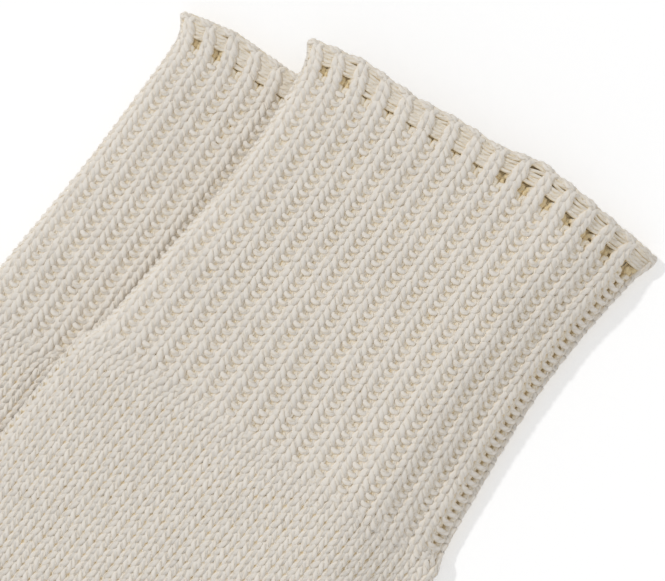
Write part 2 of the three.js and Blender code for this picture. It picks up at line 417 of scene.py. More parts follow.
def half_ring(share, first, second, flat, half):
    """Point on half of a flattened ring, evenly along it from its first fold to its second."""
    zero = np.zeros_like(share)
    long_first = quarter_round(zero, first, half)[2]
    long_second = quarter_round(zero, second, half)[2]
    whole = long_first + flat + long_second
    gone = np.clip(share, 0, 1) * whole
    left_in, left_up, _ = quarter_round(np.minimum(gone, long_first), first, half)
    right_in, right_up, _ = quarter_round(np.minimum(whole - gone, long_second), second, half)
    in_left, in_right = gone < long_first, whole - gone < long_second
    across = np.where(in_right, first + flat + second - right_in, first + gone - long_first)
    across = np.where(in_left, left_in, across)
    up = np.where(in_left, left_up, np.where(in_right, right_up, half))
    return across, up, whole


class LaidSock:
    """A sock laid in its place: where each point of its cloth is. Places count the plan's sections from the
    cuff edge on, and rows count rows of stitches."""

    def __init__(self, sizes, knit, middle, x, y, slack, turn, lower=None):
        leg = leg_sections(sizes, sizes["waist_width"] + slack, turn)
        sections = [*leg, *foot_sections(sizes, turn, leg[-1])]
        offset = np.array([x, y]) + middle
        self.origin = middle
        self.knit = knit
        self.instep = np.array([line["instep"] for line in sections]) + offset
        self.heel = np.array([line["heel"] for line in sections]) + offset
        self.facts = {key: np.array([line[key] for line in sections]) for key in ("wall", "tall", "bow")}
        self.last = len(sections) - 1
        self.stops = {line["at"]: k for k, line in enumerate(sections)}
        self.lower = lower
        self._count_rows()

    def _count_rows(self):
        """Rows of stitches against places, evenly along the middle of each knitted part."""
        place, steps = self.middle_steps(30)
        gone = np.concatenate([[0], np.cumsum(steps)])
        parts = {"rib end": "rib", "ankle": "leg", "gusset": "heel", "toe start": "foot", "tip": "toe"}
        stops = [np.interp(self.stops[at], place, gone) for at in ("cuff edge", *parts)]
        counted = np.cumsum([0] + [self.knit[f"{part}_rows"] for part in parts.values()])
        self.row_of = np.interp(gone, stops, counted)
        self.place_of = place
        self.first_row = dict(zip((*parts.values(), "end"), map(int, counted)))

    def middle_steps(self, fineness):
        """Places all along the sock, and the steps between them along its middle."""
        place = np.linspace(0, self.last, self.last * fineness + 1)
        middle = (along_spline(self.instep, place) + along_spline(self.heel, place)) / 2
        return place, np.hypot(*np.diff(middle, axis=0).T)

    def place(self, row):
        """Place of a row."""
        return np.interp(row, self.row_of, self.place_of)

    def row(self, place):
        """Row at a place."""
        return np.interp(place, self.place_of, self.row_of)

    def fact(self, key, place):
        """A number of the plan at a place."""
        return np.interp(place, np.arange(self.last + 1), self.facts[key])

    def ribbed(self, place):
        """1 in the rib and 0 in the plain knitting."""
        return 1 - smooth(place, self.stops["rib end"] - 0.2, self.stops["rib end"] + 0.8)

    def flat_size(self):
        """Width round the tube and length along its middle."""
        place, steps = self.middle_steps(10)
        around = sum(self.ring_lengths(place, 0.0))
        whole = steps.sum()
        return float(((around[1:] + around[:-1]) / 2 * steps).sum() / whole), float(whole)

    def outline(self):
        """Closed outline of the plan."""
        place = np.arange(self.last * 2 + 1) / 2
        return np.concatenate([along_spline(self.instep, place), along_spline(self.heel, place)[::-1]])

    def base(self, points):
        """Height that the sock rests at."""
        if self.lower is None:
            return np.zeros(len(points))
        rib_end = self.lower.instep[self.lower.stops["leg top"]][1]
        over_rib = smooth(points[:, 1], rib_end - SINK_END, rib_end)
        carried = 2 * (PLAIN_WALL + (RIB_WALL - PLAIN_WALL) * over_rib) + SLOT + REST_GAP
        outside = distance_outside(points, self.lower.outline())
        return carried * (1 - smooth(outside, SINK_START, SINK_END))

    def width(self, place):
        """Width of the plan at a place."""
        return np.hypot(*(along_spline(self.heel, place) - along_spline(self.instep, place)).T)

    def ring(self, width, place, inset):
        """Width, half height and the round parts of the ring of cloth at a depth under the outer skin."""
        spread = width + np.interp(place, *HEEL_PROUD)
        wall, tall = self.fact("wall", place), self.fact("tall", place)
        half = np.maximum(tall * wall + tall * SLOT / 2 - inset * tall, LEAST_HALF)
        rounds = [np.maximum(r - inset, LEAST_ROUND) for r in (INSTEP_ROUND, HEEL_ROUND, UNDER_ROUND)]
        return spread, half, rounds

    def ring_lengths(self, place, inset):
        """Lengths of the top and the underside of the rings at some places, at a depth."""
        spread, half, (instep, heel, under) = self.ring(self.width(place), place, np.full(len(place), inset))
        zero = np.zeros(len(place))
        top = half_ring(zero, instep, heel, spread - 2 * inset - instep - heel, half)[2]
        return top, half_ring(zero, under, under, spread - 2 * inset - 2 * under, half)[2]

    def cloth(self, place, share, inset=None, beyond=0.0):
        """Points of the cloth. share is 0 at the instep fold and 1 at the heel fold, and past those it
        goes on underneath. inset is the depth under the outer skin. beyond is how far past the edge."""
        place, share = np.broadcast_arrays(np.asarray(place, float), np.asarray(share, float))
        instep, heel = along_spline(self.instep, place), along_spline(self.heel, place)
        width = np.hypot(*(heel - instep).T)
        along = (heel - instep) / width[:, None]
        to_toe = np.stack([along[:, 1], -along[:, 0]], 1)
        wall, tall, bow = (self.fact(key, place) for key in ("wall", "tall", "bow"))
        inset = wall / 2 if inset is None else np.broadcast_to(inset, wall.shape)
        spread, half, (round_instep, round_heel, round_under) = self.ring(width, place, inset)
        ribbed = self.ribbed(place)
        is_inner = inset > INNER_FROM * wall
        sloped = np.where(is_inner, 0, ribbed)
        spread = spread - np.where(is_inner, INNER_TUCK * ribbed * (inset - wall / 2), 0)
        top_flat = spread - 2 * inset - round_instep - round_heel
        under_flat = spread - 2 * inset - 2 * round_under
        across, up, whole = half_ring(share, round_instep, round_heel, top_flat, half)
        under_whole = half_ring(share, round_under, round_under, under_flat, half)[2]
        under = np.where(share < 0, -share * whole / under_whole, 1 - (share - 1) * whole / under_whole)
        low_across, low_up, _ = half_ring(under, round_under, round_under, under_flat, half)
        is_under = (share < 0) | (share > 1)
        across = np.where(is_under, low_across, across) + inset
        at_heel = is_under & (share > 0) & (share < 1.5)
        line = half - FOLD_SLOPE * (across - (spread - inset - FOLD_REACH))
        up = up - sloped * np.maximum(up - line, 0)
        low_up = np.where(at_heel, np.maximum(low_up, FOLD_LOW * sloped), low_up)
        across = np.where(at_heel, np.minimum(across, spread - FOLD_TUCK * sloped), across)
        up = np.where(is_under, -low_up, up)
        part = across / width
        wave = np.interp(part, *EDGE_WAVE) * (1 - smooth(place, 0, 1.35))
        point = instep + (heel - instep) * part[:, None]
        point = point - to_toe * (bow * np.sin(math.pi * part) + wave + beyond)[:, None]
        return np.column_stack([point, self.base(point) + tall * wall + SLOT / 2 + up])

    def column_width(self, place):
        """Width of a column of stitches."""
        return (self.width(place) - 1.0) / (HEEL_COLUMN - INSTEP_COLUMN)

    def cloth_and_normal(self, place, share):
        """Points of the middle of the cloth, and the way out of it."""
        point = self.cloth(place, share)
        side = self.cloth(place, share + 0.002) - self.cloth(place, share - 0.002)
        ahead = self.cloth(np.clip(place + 0.02, 0, self.last), share)
        ahead = ahead - self.cloth(np.clip(place - 0.02, 0, self.last), share)
        normal = np.cross(ahead, side)
        normal /= np.maximum(np.linalg.norm(normal, axis=1), 1e-9)[:, None]
        return point, normal


def column_shares():
    """Columns against shares across the top: a little closer together over the instep fold."""
    column = np.linspace(INSTEP_COLUMN, HEEL_COLUMN, 400)
    weight = 1 - CLOSER * (1 - smooth(column, 3, 7))
    gone = np.concatenate([[0], np.cumsum((weight[1:] + weight[:-1]) / 2)])
    return column, gone / gone[-1]


COLUMNS, SHARES = column_shares()


def share_of(column):
    """Share across the top of a column, going on evenly under both folds."""
    inner = np.interp(column, COLUMNS, SHARES)
    high = (SHARES[-1] - SHARES[-2]) / (COLUMNS[-1] - COLUMNS[-2])
    low = (SHARES[1] - SHARES[0]) / (COLUMNS[1] - COLUMNS[0])
    inner = np.where(column < INSTEP_COLUMN, (column - INSTEP_COLUMN) * low, inner)
    return np.where(column > HEEL_COLUMN, 1 + (column - HEEL_COLUMN) * high, inner)


# ---------------------------------------------------------------------------
# Yarn


def mesh_object(name, points, faces, maps):
    """A smooth mesh in the scene, from points in millimetres, lists of faces and maps by their names."""
    mesh = bpy.data.meshes.new(name)
    sizes = np.concatenate([np.full(len(face), face.shape[1]) for face in faces])
    corners = np.concatenate([face.ravel() for face in faces])
    starts = np.concatenate([[0], np.cumsum(sizes)[:-1]])
    mesh.vertices.add(len(points))
    mesh.vertices.foreach_set("co", (points * MM).astype(np.float32).ravel())
    mesh.loops.add(len(corners))
    mesh.loops.foreach_set("vertex_index", corners.astype(np.int32))
    mesh.polygons.add(len(sizes))
    mesh.polygons.foreach_set("loop_start", starts.astype(np.int32))
    mesh.polygons.foreach_set("loop_total", sizes.astype(np.int32))
    mesh.polygons.foreach_set("use_smooth", np.ones(len(sizes), bool))
    for label, places in maps.items():
        mesh.uv_layers.new(name=label).data.foreach_set("uv", places.astype(np.float32).ravel())
    mesh.uv_layers.active_index = 0
    mesh.uv_layers[0].active_render = True
    mesh.update(calc_edges=True)
    mesh.validate()
    piece = bpy.data.objects.new(name, mesh)
    bpy.context.scene.collection.objects.link(piece)
    return piece


class Strand:
    """One run of yarn: the points of its middle, the way out of the cloth, its radius, and how far its middle
    stands out of the cloth."""

    def __init__(self, points, outward, radius, height):
        self.points, self.outward, self.radius, self.height = points, outward, radius, height


def yarn_object(name, strands, sides, rng):
    """A mesh of yarn tubes with two maps, one for the plies and one that lays each strand in its own strip,
    and with how far each point stands out of the cloth."""
    points, faces, corners, height = [], [], [], []
    start = 0
    turn = np.arange(sides) / sides * 2 * math.pi
    wide, tall = YARN_WIDE * np.cos(turn)[None, :, None], YARN_TALL * np.sin(turn)[None, :, None]
    for number, strand in enumerate(strands):
        p, radius = strand.points, strand.radius
        ahead = np.gradient(p, axis=0)
        ahead /= np.linalg.norm(ahead, axis=1)[:, None]
        side = np.cross(ahead, strand.outward)
        side /= np.maximum(np.linalg.norm(side, axis=1), 1e-9)[:, None]
        ring = side[:, None] * wide + np.cross(side, ahead)[:, None] * tall
        points.append((p[:, None] + ring * radius[:, None, None]).reshape(-1, 3))
        height.append((strand.height[:, None] + radius[:, None] * np.sin(turn)[None]).ravel())
        gone = np.concatenate([[0], np.cumsum(np.linalg.norm(np.diff(p, axis=0), axis=1))])
        last = len(p) - 1
        i, k = (grid.ravel() for grid in np.meshgrid(np.arange(last), np.arange(sides), indexing="ij"))
        here, ring_ahead, beside = i * sides, (i + 1) * sides, (k + 1) % sides
        faces.append(np.stack([here + k, here + beside, ring_ahead + beside, ring_ahead + k], 1) + start)
        u = np.stack([k, k + 1, k + 1, k], 1) / sides
        v = np.stack([gone[i], gone[i], gone[i + 1], gone[i + 1]], 1) + rng.random() * 40
        share = (v - v.min()) / max(v.max() - v.min(), 1e-6)
        corners.append(np.stack([u, v, share, np.full(u.shape, number, float)], -1).reshape(-1, 4))
        tip = start + len(p) * sides
        for end, way in ((0, 1), (last, -1)):
            rim = start + end * sides + np.arange(sides)
            points.append((p[end] - way * ahead[end] * radius[end] * TIP)[None])
            height.append(strand.height[end:end + 1])
            cap = np.stack([np.roll(rim, -1), rim][::way] + [np.full(sides, tip)], 1)
            faces.append(cap)
            corners.append(np.tile([0.0, 0.0, way == -1, number], (cap.size, 1)))
            tip += 1
        start = tip
    around, along, share, strip = np.concatenate(corners).T
    level = (strip + STRIP_EDGE + (1 - 2 * STRIP_EDGE) * around) / len(strands)
    maps = {
        "Plies": np.column_stack([around, along]),
        "OFBake": np.column_stack([MAP_EDGE + (1 - 2 * MAP_EDGE) * share, level]),
    }
    piece = mesh_object(name, np.concatenate(points), faces, maps)
    stands = piece.data.attributes.new("Height", "FLOAT", "POINT")
    stands.data.foreach_set("value", np.concatenate(height).astype(np.float32))
    return piece


def wavering(rng, rows, columns, row, column):
    """Random numbers over rows and columns of stitches, smooth along each row."""
    nodes = rng.standard_normal((rows + 2, columns + 2))
    i, k = np.clip(row, 0, rows).astype(int), np.clip(column, 0, columns).astype(int)
    f = column - k
    return nodes[i, k] * (1 - f) + nodes[i, k + 1] * f


def runs(shown, shortest):
    """Start and end of each run of shown points that is longer than twice the shortest."""
    edge = np.flatnonzero(np.diff(np.concatenate([[0], shown.astype(int), [0]])))
    return [(a, b) for a, b in zip(edge[::2], edge[1::2]) if b - a > 2 * shortest]


class Knitting:
    """Makes the strands of a laid sock's rows."""

    def __init__(self, sock, seed):
        self.sock, self.knit = sock, sock.knit
        self.rng = np.random.default_rng(seed)

    def part(self, start, end, samples, skip):
        """Strands over the top of the sock, from the first row of one part to that of another."""
        first = self.sock.first_row
        return self.rows(first[start], first[end], TOP_COLUMNS, samples, skip)

    def rows(self, first, last, columns, samples, skip=None, cloth_at=None, is_made=None):
        """Strands for rows first to last, over columns (from, to). cloth_at lays them, and is_made tells
        which stitches of them there are."""
        knit, rng = self.knit, self.rng
        low, high = columns
        lin = low + np.arange(samples * (high - low) + 1) / samples
        row_number, lin = np.meshgrid(np.arange(first, last), lin, indexing="ij")
        shape = row_number.shape
        row_number, lin = row_number.ravel().astype(float), lin.ravel()
        stitch = np.floor(lin + 1e-6).astype(int)
        angle = (lin - stitch) * 2 * math.pi
        leg, head = np.sin(angle), np.sin(angle / 2) ** 4
        is_purl = (stitch % 2 == 1) & (row_number < knit["rib_rows"])
        is_bar = is_purl & (row_number < BAND_ROWS)
        is_loop = is_purl & ~is_bar
        aside, along, out, thick = [
            wavering(rng, last + 2, ROUND_COLUMNS + 8, row_number, lin + 4) * knit["unevenness"] * size
            for size in UNEVEN
        ]
        rib = 1 - smooth(row_number, knit["rib_rows"] - 1.0, knit["rib_rows"] + 3.0)

        # aside
        lean = np.where(angle < math.pi, *RIB_LEAN) * rib + PLAIN_LEAN * (1 - rib)
        lean = np.where(is_bar, 0, np.where(is_purl, PURL_LEAN, lean))
        sway = np.where(is_loop, PURL_SWAY, np.where(is_bar, 0, KNIT_SWAY))
        column = lin + lean * np.sin(2 * angle) + aside + sway * leg

        # along the rows
        height = -np.cos(angle)
        height = np.where(is_purl, np.sign(height) * np.abs(height) ** PURL_SQUARE, height)
        height = np.where(is_bar, -1 + 0.12 * np.sin(angle / 2) ** 2, height)
        row = row_number + STITCH_MIDDLE + knit["loop_height"] / 2 * height + along

        # out of the cloth
        swing = 2 * np.abs(leg) ** 1.5 * knit["relief"] * (PLAIN_SWING + (1 - PLAIN_SWING) * rib)
        part = np.where(is_bar, 0.2, np.where(is_purl, PURL_BACK, 1))
        outward = swing * part + is_loop * PURL_HEAD * head
        outward = outward - (is_loop & (row_number == BAND_ROWS)) * FIRST_LOOP_BACK * (1 - head)
        ridge = np.where(row_number >= knit["rib_rows"], np.cos(math.pi * (lin - 0.5)), 0)
        outward = outward + knit["relief"] * (RIDGE * rib * ridge - (1 - rib)) + out
        point, normal, width = (cloth_at or self.cloth_at)(row, self.warped(column, row, rib))
        point = point + normal * outward[:, None]

        # thickness
        plump = 1 + rib * np.where(is_purl, *LEG_PLUMP) * leg**2 - is_loop * HEAD_THIN * head
        plump = np.where(is_bar, 1 - BAR_THIN * np.sin(angle / 2) ** 0.5, plump)
        yarn = knit["yarn"] * (PLAIN_YARN + (1 - PLAIN_YARN) * rib)
        radius = np.clip(width * yarn, *YARN_RANGE) * plump * (1 + thick)
        point[:, 2] = np.maximum(point[:, 2], radius)

        # what shows, in strands
        shown = np.ones(shape, bool) if skip is None else ~skip(point).reshape(shape)
        if is_made is not None:
            shown &= is_made(row_number, lin).reshape(shape)
        point, normal = point.reshape(*shape, 3), normal.reshape(*shape, 3)
        radius, outward = radius.reshape(shape), outward.reshape(shape)
        return [
            Strand(point[i, a:b], normal[i, a:b], radius[i, a:b], outward[i, a:b])
            for i in range(shape[0])
            for a, b in runs(shown[i], samples)
        ]

    def warped(self, column, row, rib):
        """Columns with the knit ones of the rib wider than the purl ones, but narrower in the first rows."""
        pair = np.floor(column / 2) * 2
        inside = column - pair
        wide = 1 + KNIT_SHARE * rib * smooth(row, 1.5, 4.5) - FIRST_SHARE * (1 - smooth(row, 1.5, 4.5))
        placed = pair + np.where(inside < 1, inside * wide, wide + (inside - 1) * (2 - wide))
        last_knit, last_purl = LAST_PURL
        opened = np.clip((placed - last_knit) / (last_purl - last_knit), 0, 1)
        return placed + SPREAD * rib * opened * (1 - smooth(placed, *SPREAD_ENDS))

    def cloth_at(self, row, column):
        """Points of the cloth and the way out of it. Rows below 0 stand past the edge."""
        sock = self.sock
        share, place = self.round_share(column), sock.place(row)
        point, normal = sock.cloth_and_normal(place, share)
        if (row < 0).any():
            past = sock.cloth(np.zeros(len(row)), share, beyond=np.maximum(-row, 0) * ROW)
            point = np.where((row < 0)[:, None], past, point)
        return point, normal, sock.column_width(place)

    def round_share(self, column):
        """Share of a column all the way round the cuff: the last columns close the ring underneath."""
        (top,), (below,) = self.sock.ring_lengths(np.zeros(1), RIB_WALL / 2)
        ends = (TOP_COLUMNS[1], ROUND_COLUMNS)
        under = np.interp(column, ends, (share_of(ends[0]), 1 + below / top + share_of(0.0)))
        return np.where(column > ends[0], under, share_of(column))

    def heel(self, samples, skip=None):
        """Strands of the turned heel: short rows from both its ends, which meet at a slanting line."""
        sock, columns = self.sock, TOP_COLUMNS
        first, last = sock.first_row["heel"], sock.first_row["foot"]
        steps, count = 60, 4 * (columns[1] - columns[0]) + 1
        column = np.linspace(*columns, count)
        place = np.linspace(sock.stops["ankle"], sock.stops["gusset"], steps)
        grid = sock.cloth(np.tile(place, count), np.repeat(share_of(column), steps)).reshape(count, steps, 3)
        gone = np.cumsum(np.linalg.norm(np.diff(grid, axis=1), axis=2), 1)
        gone = np.concatenate([np.zeros((count, 1)), gone], 1)
        even = np.array([np.interp(np.linspace(0, 1, steps), g / g[-1], place) for g in gone])
        length = gone[:, -1]

        def laid(from_gusset):
            def cloth_at(row, at):
                whole = np.interp(at, column, length)
                part = 1 + (row - last) * ROW / whole if from_gusset else (row - first) * ROW / whole
                x = np.clip((at - columns[0]) * 4, 0, count - 1.001)
                y = np.clip(part, 0, 1) * (steps - 1.001)
                i, k = x.astype(int), y.astype(int)
                f, g = x - i, y - k
                spot = (even[i, k] * (1 - g) + even[i, k + 1] * g) * (1 - f)
                spot = spot + (even[i + 1, k] * (1 - g) + even[i + 1, k + 1] * g) * f
                spot = np.where((part > 1) | (part < 0), sock.place(row), spot)
                point, normal = sock.cloth_and_normal(spot, share_of(at))
                return point, normal, sock.column_width(spot)

            return cloth_at

        def is_made(from_gusset):
            def test(row, at):
                rows = last - row - 0.5 if from_gusset else row - first + 0.5
                return rows * ROW < np.interp(at, column, length) / 2

            return test

        half = int(math.ceil(length.max() / ROW / 2))
        strands = []
        for start, end, side in ((first, first + half, False), (last - half, last, True)):
            strands += self.rows(start, end, columns, samples, skip, laid(side), is_made(side))
        return strands

    def toe(self, samples, skip=None):
        """Strands of the toe, with stitches as wide as the foot's, and fewer in each row."""
        sock = self.sock
        start = np.array([float(sock.stops["toe start"])])
        places = np.linspace(start[0], sock.last, 60)
        foot = sock.ring_lengths(start, PLAIN_WALL / 2)[0]
        narrow = sock.ring_lengths(places, PLAIN_WALL / 2)[0] / foot

        def share_at(row, at):
            return 0.5 + (share_of(at) - 0.5) / np.interp(sock.place(row), places, narrow)

        def cloth_at(row, at):
            point, normal = sock.cloth_and_normal(sock.place(row), share_at(row, at))
            return point, normal, np.full(len(row), sock.column_width(start)[0])

        def is_made(row, at):
            return np.abs(share_at(row + 1, at) - 0.5) < 0.55

        first, last = sock.first_row["toe"], sock.first_row["end"] - 1
        return self.rows(first, last, TOP_COLUMNS, samples, skip, cloth_at, is_made)

    def edge(self, samples, skip=None):
        """The cast-on chain along the edge, and the bars that cross the purl columns under it."""
        strands = []

        def lay(lin, row, outward, radius, lift=0):
            point, normal, _ = self.cloth_at(row, self.warped(lin, row, np.ones(len(lin))))
            point = point + normal * outward[:, None]
            hidden = np.zeros(len(point), bool) if skip is None else skip(point)
            for a, b in runs(~hidden, 2):
                strands.append(Strand(point[a:b], normal[a:b], np.full(b - a, radius), outward[a:b] + lift))

        lin = np.arange(samples * ROUND_COLUMNS + 1) / samples
        for side in (0, 1):
            angle = (lin - 0.5 * side) * 2 * math.pi
            outward = 0.55 * np.cos(angle / 2 + side) + 0.25
            lay(lin, -0.12 + 0.2 * np.cos(angle), outward, CHAIN_RADIUS, CHAIN_LIFT)
        part = np.linspace(0, 1, 7)
        for column in range(0, ROUND_COLUMNS - 1, 2):
            is_close = CLOSE_BARS[0] < share_of(column + 1) < CLOSE_BARS[1]
            for bar in BARS if is_close else BARS[:-2]:
                shift, slant = self.rng.normal(0, BAR_UNEVEN)
                row = bar + shift + slant * (part - 0.5) * 2 + 0.12 * np.sin(math.pi * part)
                radius = BAR_RADIUS + self.rng.normal(0, BAR_RADIUS_UNEVEN)
                lay(column + BAR_START + BAR_SPAN * part, row, np.full(len(part), BAR_HEIGHT), radius)
        return strands


# ---------------------------------------------------------------------------
# Materials


class Wiring:
    """Puts nodes in a tree and links them."""

    def __init__(self, tree):
        self.nodes, self.link = tree.nodes, tree.links.new

    def feed(self, inlet, value):
        """Link an inlet to an outlet, or set its value."""
        if hasattr(value, "is_output"):
            self.link(value, inlet)
        else:
            inlet.default_value = value

    def node(self, kind, feeds, **settings):
        """A node with its settings, and with its inlets fed by name or number."""
        made = self.nodes.new(f"ShaderNode{kind}")
        for name, value in settings.items():
            setattr(made, name, value)
        for inlet, value in feeds.items():
            self.feed(made.inputs[inlet], value)
        return made

    def math(self, operation, *values):
        """The outcome of an operation on numbers or outlets."""
        return self.node("Math", dict(enumerate(values)), operation=operation).outputs[0]

    def noise(self, where, scale, detail):
        """Cloudy noise."""
        return self.node("TexNoise", {"Vector": where, "Scale": scale, "Detail": detail}).outputs[0]

    def mix(self, share, first, second):
        """A share of the second colour over the first."""
        return self.node("Mix", {0: share, 6: first, 7: second}, data_type="RGBA").outputs[2]

    def stretch(self, value, low, high, **settings):
        """A value that runs from low to high, made to run from 0 to 1."""
        return self.node("MapRange", {"Value": value, "From Min": low, "From Max": high}, **settings)

    def object_place(self):
        """Where a point is on its object."""
        return self.node("TexCoord", {}).outputs["Object"]

    def own_map(self, name):
        """The two numbers of one of the piece's own maps."""
        uv = self.node("UVMap", {}, uv_map=name)
        return self.node("SeparateXYZ", {0: uv.outputs[0]}).outputs[:2]


def new_group(name, inlets, outlets):
    """An empty node group with its sockets, its wiring, its inner outlets and its inner inlets."""
    group = bpy.data.node_groups.new(name, "ShaderNodeTree")
    for way, sockets in (("INPUT", inlets), ("OUTPUT", outlets)):
        for label, kind in sockets.items():
            group.interface.new_socket(name=label, in_out=way, socket_type=f"NodeSocket{kind}")
    given = group.nodes.new("NodeGroupInput").outputs
    return group, Wiring(group), given, group.nodes.new("NodeGroupOutput").inputs


def plied_wool_group():
    """Twisted plies and loose fibres along a yarn, from its own map, with painted shade: darker grooves
    between the plies, warmer flanks, and a warm darker tint low in the cloth.
    """
    if "Plied wool" in bpy.data.node_groups:
        return bpy.data.node_groups["Plied wool"]
    colours = dict.fromkeys(("Wool", "Groove", "Flank", "Deep"), "Color")
    numbers = dict.fromkeys(("Deep from", "Deep to", "Plies", "Turns per mm", "Fibre"), "Float")
    outlets = {"Color": "Color", "Height": "Float", "Roughness": "Float"}
    group, wiring, given, outlet = new_group("Plied wool", {**colours, **numbers}, outlets)
    calc, where = wiring.math, wiring.object_place()
    around, along = wiring.own_map("Plies")

    # the plies wind round the yarn, and the fibres follow them
    turn = calc("MULTIPLY", along, given["Turns per mm"])
    turn = calc("ADD", calc("MULTIPLY", around, given["Plies"]), turn)
    wobble = wiring.noise(where, 1100, 1)
    half_turn = calc("MULTIPLY", calc("MULTIPLY_ADD", wobble, 0.35, turn), math.pi)
    ply = calc("POWER", calc("ABSOLUTE", calc("SINE", half_turn)), 0.55)
    spin = calc("MULTIPLY", calc("DIVIDE", turn, given["Plies"]), 2 * math.pi)
    streak = {0: calc("COSINE", spin), 1: calc("SINE", spin), 2: calc("MULTIPLY", along, 0.2)}
    fibre = wiring.noise(wiring.node("CombineXYZ", streak).outputs[0], 3.4, 3)
    height = calc("MULTIPLY_ADD", calc("SUBTRACT", fibre, 0.5), given["Fibre"], ply)

    # painted shade: darker grooves between the plies, warmer flanks of the yarn, and a warm darker tint on
    # yarn deep in the cloth
    tint = wiring.mix(calc("POWER", height, 0.8), given["Groove"], given["Wool"])
    facing = calc("SINE", calc("MULTIPLY", around, 2 * math.pi))
    crown = wiring.stretch(facing, -0.25, 0.65, interpolation_type="SMOOTHSTEP")
    tint = wiring.mix(crown.outputs[0], given["Flank"], tint)
    stands = wiring.node("Attribute", {}, attribute_name="Height").outputs["Fac"]
    stands = calc("MULTIPLY_ADD", wobble, 0.3, stands)
    depth = wiring.stretch(stands, given["Deep from"], given["Deep to"], interpolation_type="SMOOTHSTEP")
    tint = wiring.mix(depth.outputs[0], tint, given["Deep"])

    # thicker and thinner stretches differ a little in tone
    tone = wiring.stretch(wiring.noise(where, 90, 2), 0.3, 0.7)
    tone.inputs["To Min"].default_value = 0.98
    tone.inputs["To Max"].default_value = 1.02
    toned = wiring.node("VectorMath", {0: tint, "Scale": tone.outputs[0]}, operation="SCALE").outputs[0]
    wiring.feed(outlet["Color"], toned)
    wiring.feed(outlet["Height"], height)
    wiring.feed(outlet["Roughness"], calc("MULTIPLY_ADD", height, -0.08, 0.96))
    return group


def flat_stitches_group():
    """Plain stitches drawn on a surface, from its own map of columns and rows, with painted shade between
    them.
    """
    inlets = {"Wool": "Color", "Between": "Color"}
    group, wiring, given, outlet = new_group("Flat stitches", inlets, {"Color": "Color", "Height": "Float"})
    calc = wiring.math
    column, row = wiring.own_map("Stitches")
    across = calc("SUBTRACT", calc("FRACT", column), 0.5)
    aside = calc("MULTIPLY", calc("ABSOLUTE", across), 2)
    leg = calc("MULTIPLY", aside, calc("SUBTRACT", 1, aside))
    down = calc("FRACT", calc("MULTIPLY_ADD", aside, -0.5, row))
    loop = calc("MULTIPLY", down, calc("SUBTRACT", 1, down))
    height = calc("MULTIPLY", calc("SQRT", calc("MULTIPLY", leg, loop)), 4)
    # painted shade: the colour between the stitches is darker where the drawn stitch is low
    wiring.feed(outlet["Color"], wiring.mix(calc("POWER", height, 0.5), given["Between"], given["Wool"]))
    wiring.feed(outlet["Height"], height)
    return group


def new_material(name):
    """A material with its wiring."""
    material = bpy.data.materials.new(name)
    material.use_nodes = True
    return material, Wiring(material.node_tree)


def shade(material, wiring, feeds):
    """Feed the shader of a material."""
    shader = material.node_tree.nodes["Principled BSDF"]
    for inlet, value in feeds.items():
        wiring.feed(shader.inputs[inlet], value)
    return material


def shade_with_bump(material, wiring, height, strength, distance, feeds):
    """Feed the shader of a material, and stand its pattern out."""
    bump = wiring.node("Bump", {"Strength": strength, "Distance": distance, "Height": height})
    return shade(material, wiring, {"Normal": bump.outputs[0], **feeds})


SHEEN = {"Specular IOR Level": 0.12, "Sheen Weight": 0.2, "Sheen Roughness": 0.6}


def wool(scene, kind):
    """Matt plied wool, of ribbed or of plain knitting."""
    name, deep_from, deep_to = WOOLS[kind]
    if name in bpy.data.materials:
        return bpy.data.materials[name]
    material, wiring = new_material(name)
    feeds = {key: (*getattr(scene.wool_look, key.lower()), 1) for key in ("Wool", "Groove", "Flank", "Deep")}
    feeds.update({"Deep from": deep_from, "Deep to": deep_to, "Plies": 3, "Turns per mm": -0.3, "Fibre": 0.8})
    out = wiring.node("Group", feeds, node_tree=plied_wool_group()).outputs
    return shade_with_bump(material, wiring, out["Height"], 0.65, 0.00026, {
        "Base Color": out["Color"], "Roughness": out["Roughness"], **SHEEN,
    })


def backing_material(inside):
    """The cloth behind the stitches, coloured darker and warmer as painted shade, with random flecks."""
    material, wiring = new_material("Cloth behind")
    fleck = wiring.noise(wiring.object_place(), 900, 4)
    ramp = wiring.node("ValToRGB", {0: fleck})
    for element, position, light in zip(ramp.color_ramp.elements, (0.3, 0.7), (0.85, 1.1)):
        element.position = position
        element.color = (*[min(c * light, 1) for c in inside], 1)
    feeds = {"Base Color": ramp.outputs[0], "Roughness": 0.95, "Specular IOR Level": 0.1}
    return shade_with_bump(material, wiring, fleck, 0.5, 0.0003, feeds)


def underside_material(look):
    """The plain stitches of the layer that lies on the table, and of the inside."""
    material, wiring = new_material("Underside knit")
    # painted shade between the drawn stitches, in the groove colour
    feeds = {"Wool": (*look.wool, 1), "Between": (*look.groove, 1)}
    stitches = wiring.node("Group", feeds, node_tree=flat_stitches_group())
    feeds = {"Base Color": stitches.outputs["Color"], "Roughness": 0.93, **SHEEN}
    return shade_with_bump(material, wiring, stitches.outputs["Height"], 0.9, 0.0007, feeds)


# ---------------------------------------------------------------------------
# Pieces


def own_properties(group):
    """The properties that a group holds."""
    return [prop for prop in group.bl_rna.properties if prop.identifier not in ("name", "rna_type")]


def values(group):
    """The numbers of a property group, lengths in millimetres."""
    made = {}
    for prop in own_properties(group):
        value = getattr(group, prop.identifier)
        made[prop.identifier] = value / MM if getattr(prop, "unit", "NONE") == "LENGTH" else value
    return made


LAID = {}
KNITTED = {"upper": [], "lower": []}


